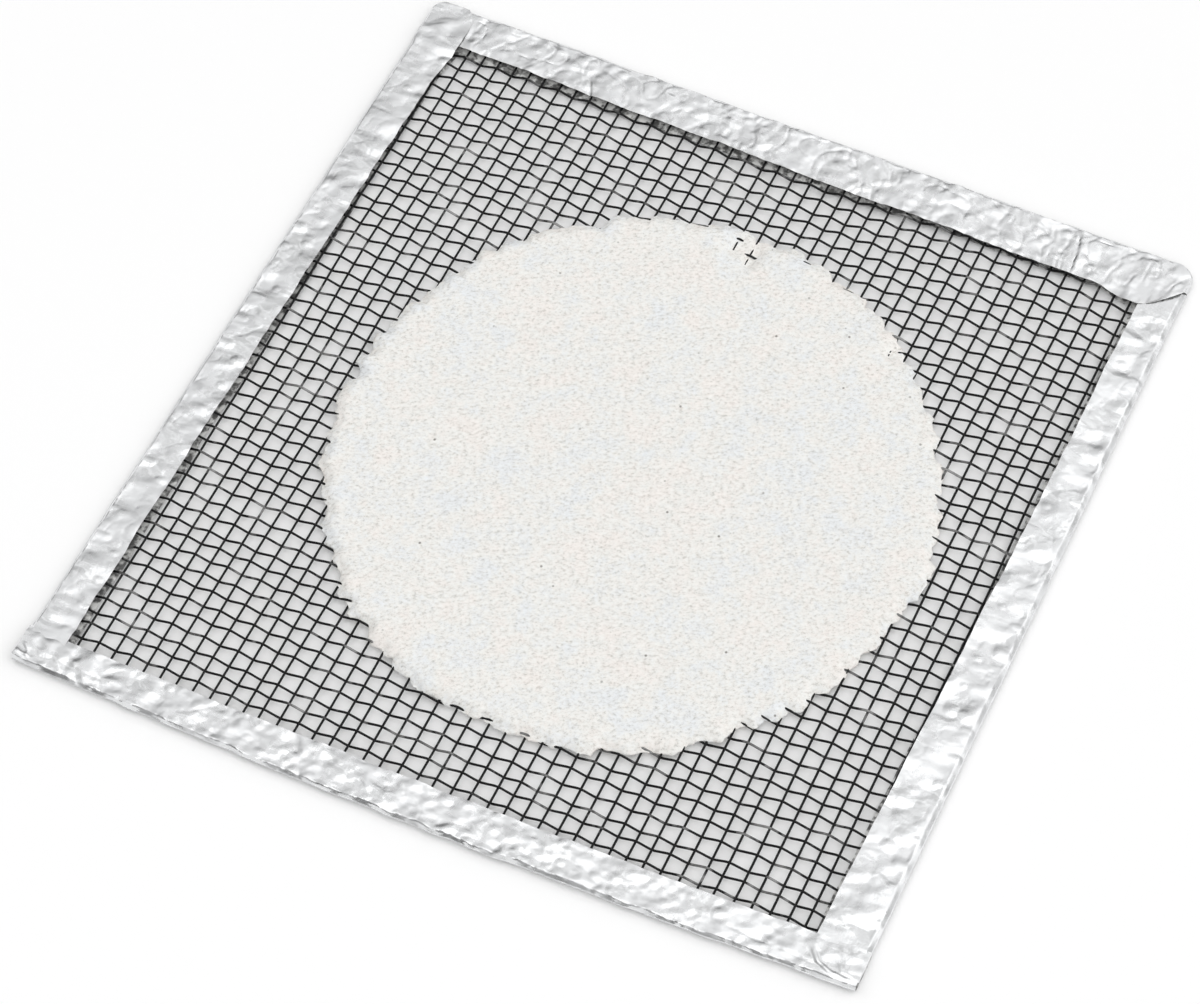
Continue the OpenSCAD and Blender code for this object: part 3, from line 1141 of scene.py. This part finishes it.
@dataclass(frozen=True)
class FoilEdging:
    """The four strips of tape, which lap over each other at the corners."""

    far_left_in: Point = (1.1, 0.24)
    far_right_in: Point = (0.9, 1.64)
    near_right_in: Point = (0.0, 2.44)
    near_left_in: Point = (0.1, 0.64)

    def strips(self) -> list[FoilStrip]:
        """Lays out the strips between the corners of the mesh.

        Returns:
            The four strips.
        """
        low, high = (np.array(corner) / MM for corner in CAD_BOX)
        far_left = np.array([low[0], high[1]]) + np.array([1, -1]) * self.far_left_in
        far_right = np.array([high[0], high[1]]) - np.array(self.far_right_in)
        near_right = np.array([high[0], low[1]]) + np.array([-1, 1]) * self.near_right_in
        near_left = np.array([low[0], low[1]]) + np.array(self.near_left_in)
        return [
            FoilStrip(
                Side.NEAR, near_left, near_right, widths=(5.2, 5.4), under=(5.5, 5.4),
                crinkle=Crinkle(
                    3, press=0.02, lumps=0.17, ripples=0.12, folds=0.11, facets=0.08, veins=0.05,
                    stretch=1.35, lump_mm=2.1, ripple_mm=0.95, fold_mm=1.5, facet_mm=0.75,
                ),
                bow=1.35, cut_bow=0.6, bevel=0.33, over=(8.0, 9.0), sunk=True,
                creases=self.near_creases(near_left, near_right),
            ),
            FoilStrip(
                Side.RIGHT, near_right, far_right, widths=(7.9, 5.75), under=(8.5, 6.4),
                crinkle=Crinkle(
                    17, press=0.03, lumps=0.28, ripples=0.16, folds=0.14, facets=0.05, veins=0.045,
                    stretch=0.66, lump_mm=4.0, ripple_mm=2.2, fold_mm=2.6,
                ),
                cut_bow=0.45, bevel=0.6, wobble=0.03, taut=1.6, tucked=(7.4, 10.6), held_back=(1.1, 3.0),
            ),
            FoilStrip(
                Side.FAR, far_right, far_left, widths=(8.4, 6.9), under=(8.2, 7.9),
                crinkle=Crinkle(
                    29, press=0.01, lumps=0.12, ripples=0.1, folds=0.24, facets=0.13, veins=0.11,
                    stretch=1.1, lump_mm=2.4, ripple_mm=1.2, fold_mm=2.2,
                ),
                hem=Hem(radius=3.0, root=4.6, length=6.0, drop=0.9), over=(8.6, 0.0), tucked=(0.0, 8.2),
                held_back=(0.0, 1.1),
                creases=self.far_creases(far_right),
            ),
            FoilStrip(
                Side.LEFT, far_left, near_left, widths=(6.9, 6.1), under=(7.0, 6.7),
                crinkle=Crinkle(
                    41, press=0.05, lumps=0.24, ripples=0.13, folds=0.12, facets=0.04, veins=0.045,
                    stretch=0.6, lump_mm=4.0, ripple_mm=2.2, fold_mm=2.6,
                ),
                cut_bow=0.5, wobble=0.045, taut=1.1,
                hem=Hem(radius=1.8, root=5.3, length=7.0, drop=0.6, curve=4.5), over=(9.2, 0.0),
                tucked=(0.0, 7.2), held_back=(0.0, 1.1),
            ),
        ]

    def far_creases(self, corner: Array) -> tuple[Crease, ...]:
        """Lists the hard folds near the far right corner.

        Args:
            corner: where that corner is.

        Returns:
            The creases.
        """
        folds = (
            Crease(((-17.6, -0.9), (-16.9, -4.0), (-16.5, -8.2)), 0.16, 0.2, 0.35),
            Crease(((-19.4, -1.0), (-18.6, -3.2), (-19.4, -6.0), (-18.7, -8.4)), 0.14, 0.0, 0.35),
            Crease(((-21.6, -0.8), (-21.0, -3.4), (-22.0, -5.4), (-21.2, -8.0)), 0.14, 0.0, 0.4),
            Crease(((-6.4, -1.6), (-6.5, -4.2), (-6.5, -7.0)), 0.1, 0.0, 0.28),
            Crease(((-28.6, -0.8), (-29.4, -3.4), (-29.2, -6.4)), 0.12, 0.0, 0.5),
            Crease(((-5.2, -0.8), (-8.0, -1.2), (-9.6, -2.8)), 0.1, 0.08, 0.4),
        )
        return tuple(fold.moved(corner) for fold in folds)

    def near_creases(self, left: Array, right: Array) -> tuple[Crease, ...]:
        """Lists the hard folds at the near edge's two corners.

        Args:
            left: where the near left corner is.
            right: where the near right corner is.

        Returns:
            The creases.
        """
        at_right = (
            Crease(((-7.6, 3.3), (-5.9, 1.4), (-4.1, 0.7), (-0.7, 0.6)), -0.24, 0.0, 0.4),
            Crease(((-3.6, 2.4), (-2.4, 1.3), (-0.6, 1.2)), -0.16, 0.0, 0.3),
            Crease(((-19.0, 1.3), (-11.0, 1.2), (-4.6, 0.9)), 0.1, 0.0, 0.3),
        )
        at_left = (
            Crease(((0.1, 1.1), (1.2, 0.9), (2.4, 0.8)), -0.2, 0.0, 0.35),
            Crease(((0.6, 2.6), (1.6, 1.8), (2.0, 0.7)), -0.16, 0.0, 0.3),
            Crease(((26.6, 2.2), (29.5, 4.6), (30.4, 6.1)), 0.12, 0.08, 0.4),
        )
        return tuple([fold.moved(right) for fold in at_right] + [fold.moved(left) for fold in at_left])

    def build(self, weave: Weave, finish: SoftFoil) -> None:
        """Makes the four strips.

        Args:
            weave: the mesh that they fold over.
            finish: what they are made of.
        """
        material, sticky = finish.material(), TapeBacking().material()
        for strip in self.strips():
            strip.build(weave, material, sticky)


# ---------- ceramic centre ----------


@dataclass(frozen=True)
class CeramicCentre:
    """A round of ceramic rubbed into the mesh, with a rim that breaks off at the wires."""

    node: str = "ceramic_centre"
    spokes: int = 640
    shell: float = 0.9
    rim_half: float = 0.1
    rim_slope: float = 1.5
    cling: float = 0.42
    reach: float = 2.6
    bulge: Point = (112.0, 0.9)
    dips: tuple[Triple, ...] = ((40.0, 24.0, 1.1), (212.0, 22.0, 0.9))
    worn_depth: float = 1.1
    grains: tuple[Point, Point] = ((0.035, 0.8), (0.03, 1.9))
    crumbs: Point = (0.2, 0.7)
    print_depth: float = 0.025
    print_mm: float = 0.35
    rim_rings: tuple[float, ...] = (0, 0.08, 0.2, 0.36, 0.55, 0.8, 1.05, 1.35, 1.7)
    inner_from: float = 2.3
    inner_step: float = 0.72
    worn: tuple[Triple, ...] = (
        (-0.5, 39.6, 1.5),
        (2.4, 39.5, 1.2),
        (2.1, 37.4, 0.9),
        (27.6, 31.2, 1.1),
    )
    noise: Noise = Noise(59)

    def rim(self, weave: Weave, middle: Array, radius: float) -> tuple[Array, Array]:
        """Works out the ragged rim.

        Args:
            weave: the mesh, whose wires hold the rim.
            middle: the round's middle.
            radius: its mean radius.

        Returns:
            The directions and the rim's distance from the middle in each.
        """
        turns = np.arange(self.spokes) * 2 * math.pi / self.spokes
        way_x, way_y = np.cos(turns), np.sin(turns)
        way, height = self.bulge
        smooth = radius + height * np.cos(turns - math.radians(way)) * np.clip(np.sin(turns), 0, 1)
        for way, spread, depth in self.dips:
            smooth -= depth * np.exp(-(((np.degrees(turns) - way) / spread) ** 2))
        steps = np.linspace(-self.reach, self.reach, 53)
        reach = smooth[:, None] + steps[None, :]
        x, y = middle[0] + reach * way_x[:, None], middle[1] + reach * way_y[:, None]
        column = np.searchsorted(weave.warp_x + weave.warp_off, x)
        row = np.searchsorted(-(weave.weft_y + weave.weft_off), -y)
        pitch = weave.warp_x[1] - weave.warp_x[0]
        cell_x = weave.warp_x[0] + (column - 0.5) * pitch
        cell_y = weave.weft_y[0] - (row - 0.5) * weave.pitch
        far = np.hypot(cell_x - middle[0], cell_y - middle[1])
        filled = far < smooth[:, None] + 0.7 * self.noise.at_points(column, row)
        held = smooth + np.where(filled, steps[None, :], -self.reach).max(axis=1)
        held = (np.roll(held, 1) + held) / 2
        ragged = 0.44 * self.noise.faceted(turns * radius, turns * 0, 1.3)
        ragged += 0.3 * self.noise.soft(turns * radius, turns * 0 + 20, 0.55)
        ragged[-3:] = ragged[-3:] * 0.5 + ragged[0] * 0.5
        return turns, (1 - self.cling) * smooth + self.cling * held + ragged

    def surface(self, weave: Weave, x: Array, y: Array, inset: Array, seed: int) -> Array:
        """Gives how far a face stands off the middle of the mesh.

        Args:
            weave: the mesh.
            x: places along X.
            y: places along Y.
            inset: how far in from the rim each place is.
            seed: which face's grain.

        Returns:
            The distance at each place.
        """
        share = np.clip(inset / self.rim_slope, 0, 1)
        noise = Noise(self.noise.seed + seed)
        (fine, fine_mm), (coarse, coarse_mm) = self.grains
        grain = fine * noise.soft(x, y, fine_mm) + coarse * noise.soft(x + 9, y, coarse_mm)
        crumbs = self.crumbs[0] * noise.soft(x, y, self.crumbs[1]) * (1 - share)
        half = self.rim_half + (self.shell - self.rim_half) * share**0.8
        weft = np.abs(((weave.weft_y[0] - y) / weave.pitch + 0.5) % 1 - 0.5) * weave.pitch
        # the crimped wires beneath leave a faint print
        half = half - self.print_depth * np.exp(-((weft / self.print_mm) ** 2)) + grain * share + crumbs
        for spot_x, spot_y, size in self.worn:
            near = np.exp(-(((x - spot_x) ** 2 + (y - spot_y) ** 2) / size**2))
            half = half - self.worn_depth * near * (seed == 0)
        return np.maximum(half, 0.1)

    def build(self, weave: Weave, finish: PressedCeramic) -> None:
        """Makes the ceramic centre, as one piece.

        Args:
            weave: the mesh that it is pressed through.
            finish: what it is made of.
        """
        low, high = box_mm(self.node)
        middle, radius = (low + high)[:2] / 2, float((high - low)[:2].mean()) / 2
        turns, rim = self.rim(weave, middle, radius)
        inner_rings = np.arange(self.inner_from, radius - 1, self.inner_step)
        insets = np.concatenate([self.rim_rings, inner_rings])
        share = 1 - insets[:, None] / rim[None, :]
        x = middle[0] + rim * share * np.cos(turns)
        y = middle[1] + rim * share * np.sin(turns)
        inset = np.broadcast_to(insets[:, None], x.shape)
        rows, columns = x.shape
        top = np.stack([x, y, weave.mid + self.surface(weave, x, y, inset, 0)], axis=-1)
        base = np.stack([x, y, weave.mid - self.surface(weave, x, y, inset, 7)], axis=-1)
        hubs = [[*middle, top[-1, :, 2].mean()], [*middle, base[-1, :, 2].mean()]]
        points = np.concatenate([top.reshape(-1, 3), base.reshape(-1, 3), hubs])
        faces = []
        for first, flip in ((0, False), (rows * columns, True)):
            ring = np.arange(columns)
            after = (ring + 1) % columns
            for k in range(rows - 1):
                here, inner = first + k * columns, first + (k + 1) * columns
                quads = np.stack([here + ring, here + after, inner + after, inner + ring], axis=1)
                faces += (quads[:, ::-1] if flip else quads).tolist()
            hub = 2 * rows * columns + int(flip)
            last = first + (rows - 1) * columns
            for a, b in zip((last + ring).tolist(), (last + after).tolist()):
                faces.append([b, a, hub] if flip else [a, b, hub])
        below = rows * columns
        for a, b in zip(range(columns), [*range(1, columns), 0]):
            faces.append([b, a, below + a, below + b])
        make_piece("pressed_" + self.node, points, faces, finish.material(), self.node)


# ---------- studio ----------


@dataclass(frozen=True)
class Studio:
    """A white table top in a pale room under a large soft box, and the camera over it."""

    azimuth: float = 30.70
    elevation: float = 57.51
    roll: float = -5.80
    distance_mm: float = 540.06
    aim_mm: Point = (0.18, -7.90)
    lens: float = 116.054
    floor_half_m: float = 3.0
    box_way: Triple = (0.2, -0.36, 0.9)
    box_far_m: float = 1.3
    box_side_m: float = 1.8
    box_radiance: float = 0.32
    room_way: Triple = (0.5, 0.1, 0.86)
    room_tones: tuple[tuple[float, str], ...] = (
        (0.45, "#858585"),
        (0.60, "#A6A6A6"),
        (0.72, "#C8C8C8"),
        (0.82, "#E0E0E0"),
        (0.90, "#EAEAEA"),
        (0.98, "#F4F4F4"),
    )
    room_strength: float = 1.85
    patch_scale: float = 4.5
    patch_depth: float = 0.5
    wall_tone: float = 0.42
    wall_top: float = 0.6

    def build_floor(self, finish: WhiteSheet) -> None:
        """Lays the floor that the gauze rests on.

        Args:
            finish: what the floor is covered with.
        """
        half = self.floor_half_m
        mesh = bpy.data.meshes.new("floor")
        corners = [(-half, -half, 0), (half, -half, 0), (half, half, 0), (-half, half, 0)]
        mesh.from_pydata(corners, [], [(0, 1, 2, 3)])
        mesh.materials.append(finish.material())
        floor = bpy.data.objects.new("floor", mesh)
        bpy.context.scene.collection.objects.link(floor)
        LOG.info("floor laid")

    def build_lights(self) -> None:
        """Hangs the soft box and lights the room."""
        lamp = bpy.data.lights.new("soft_box", "AREA")
        lamp.shape = "SQUARE"
        lamp.size = self.box_side_m
        lamp.energy = self.box_radiance * math.pi * self.box_side_m**2
        holder = bpy.data.objects.new("soft_box", lamp)
        way = Vector(self.box_way).normalized()
        holder.location = way * self.box_far_m
        holder.rotation_mode = "QUATERNION"
        holder.rotation_quaternion = way.to_track_quat("Z", "Y")
        bpy.context.scene.collection.objects.link(holder)
        world = bpy.data.worlds.new("room")
        world.use_nodes = True
        tree = world.node_tree
        tree.nodes.clear()
        way_out = add_node(tree, "TexCoord").outputs["Generated"]
        # the room is brightest high on the right and dimmest low on the left
        facing = add_node(
            tree, "VectorMath", {0: way_out, 1: self.room_way}, operation="DOT_PRODUCT"
        ).outputs["Value"]
        share = add_node(tree, "MapRange", {"Value": facing, "From Min": -1.0, "From Max": 1.0})
        tone = add_node(tree, "ValToRGB", {"Fac": share}, dict(self.room_tones))
        # its walls are darker than its ceiling
        height = add_node(tree, "SeparateXYZ", {0: way_out}).outputs["Z"]
        span = {"To Min": self.room_strength * self.wall_tone, "To Max": self.room_strength}
        strength = add_node(
            tree, "MapRange", {"Value": height, "From Min": 0.0, "From Max": self.wall_top, **span}
        )
        # shelves and curtains break the light into broad patches, which the foil picks up
        patch = add_node(
            tree, "TexNoise", {"Vector": way_out, "Scale": self.patch_scale, "Detail": 2.0}
        )
        span = {"To Min": 1 - self.patch_depth, "To Max": 1.0}
        broken = add_node(tree, "MapRange", {"Value": patch, "From Min": 0.35, "From Max": 0.62, **span})
        power = add_node(tree, "Math", {0: strength, 1: broken}, operation="MULTIPLY")
        room = add_node(tree, "Background", {"Color": tone, "Strength": power})
        add_node(tree, "OutputWorld", {"Surface": room})
        bpy.context.scene.world = world
        LOG.info("soft box hung")

    def build_camera(self) -> None:
        """Sets up the camera."""
        turn, tip, roll = (math.radians(v) for v in (self.azimuth, self.elevation, self.roll))
        back = Vector((math.sin(turn) * math.cos(tip), -math.cos(turn) * math.cos(tip), math.sin(tip)))
        level = Vector((math.cos(turn), math.sin(turn), 0))
        right = level * math.cos(roll) + back.cross(level) * math.sin(roll)
        up = back.cross(right)
        lens = bpy.data.cameras.new("camera")
        lens.lens = self.lens
        lens.sensor_width = 36.0
        lens.sensor_fit = "HORIZONTAL"
        camera = bpy.data.objects.new("camera", lens)
        low, high = CAD_BOX
        aim = Vector((self.aim_mm[0] * MM, self.aim_mm[1] * MM, (low.z + high.z) / 2))
        place = Matrix((right, up, back)).transposed().to_4x4()
        place.translation = aim + back * self.distance_mm * MM
        camera.matrix_world = place
        bpy.context.scene.collection.objects.link(camera)
        bpy.context.scene.camera = camera
        bpy.context.scene.view_settings.view_transform = "Standard"
        LOG.info("camera set")


def main() -> None:
    """Builds the gauze and the studio round it."""
    logging.basicConfig(level=logging.INFO, format="%(message)s")
    weave = Weave()
    weave.build_warp(BlackIron("Straight iron wire, annealed black"))
    # the crimped wires carry more of the painted glints
    weave.build_weft(BlackIron("Crimped iron wire, annealed black", glint_from=0.55))
    CeramicCentre().build(weave, PressedCeramic())
    FoilEdging().build(weave, SoftFoil())
    studio = Studio()
    studio.build_floor(WhiteSheet())
    studio.build_lights()
    studio.build_camera()


if __name__ == "__main__":
    main()
